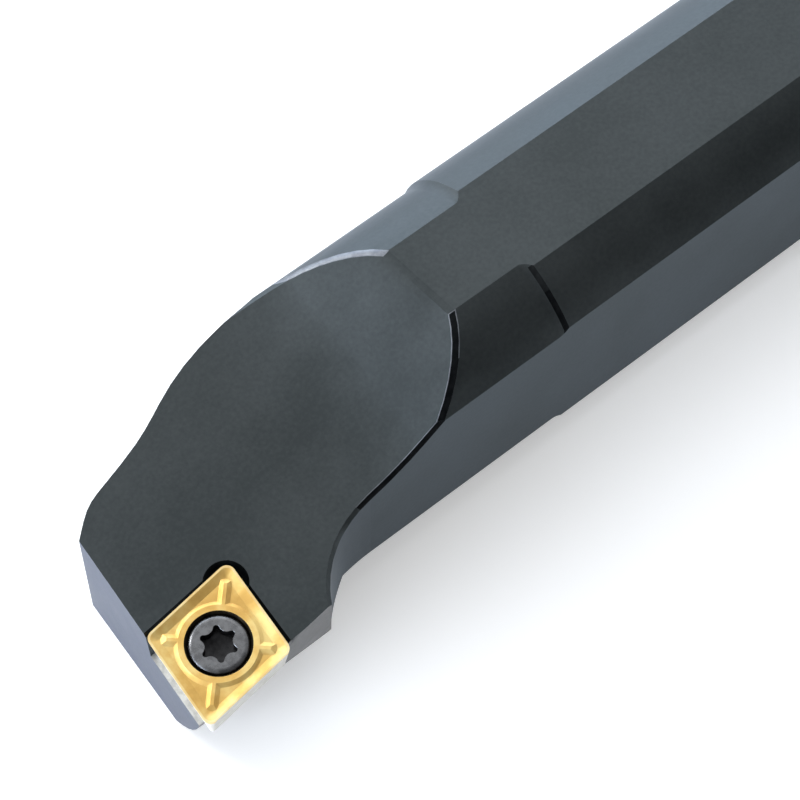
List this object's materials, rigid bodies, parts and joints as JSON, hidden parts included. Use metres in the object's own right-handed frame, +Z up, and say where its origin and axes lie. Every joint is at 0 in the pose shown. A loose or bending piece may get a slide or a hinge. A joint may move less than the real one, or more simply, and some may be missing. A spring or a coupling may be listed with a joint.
{
  "type": "boring bar",
  "caption": "Steel boring bar with ground flats, a cranked head with a tilted pocket, a rhombic carbide insert with a chip breaker and the screw that clamps it.",
  "frame": {"origin": "centre of the bar's rear end face, on the bar's axis", "axes": "+X along the bar towards the cutting head, +Y towards the side the tool cuts on, +Z up, square to the two flats"},
  "size_m": [0.2499, 0.0294, 0.023],
  "materials": {
    "black_steel": "blackened satin",
    "gold_coating": "satin gold coating on sintered carbide",
    "screw_steel": "bright, slightly worn"
  },
  "bodies": {
    "root": {"bar": "black_steel", "insert": "gold_coating", "clamp_screw": "screw_steel"}
  },
  "joints": []
}
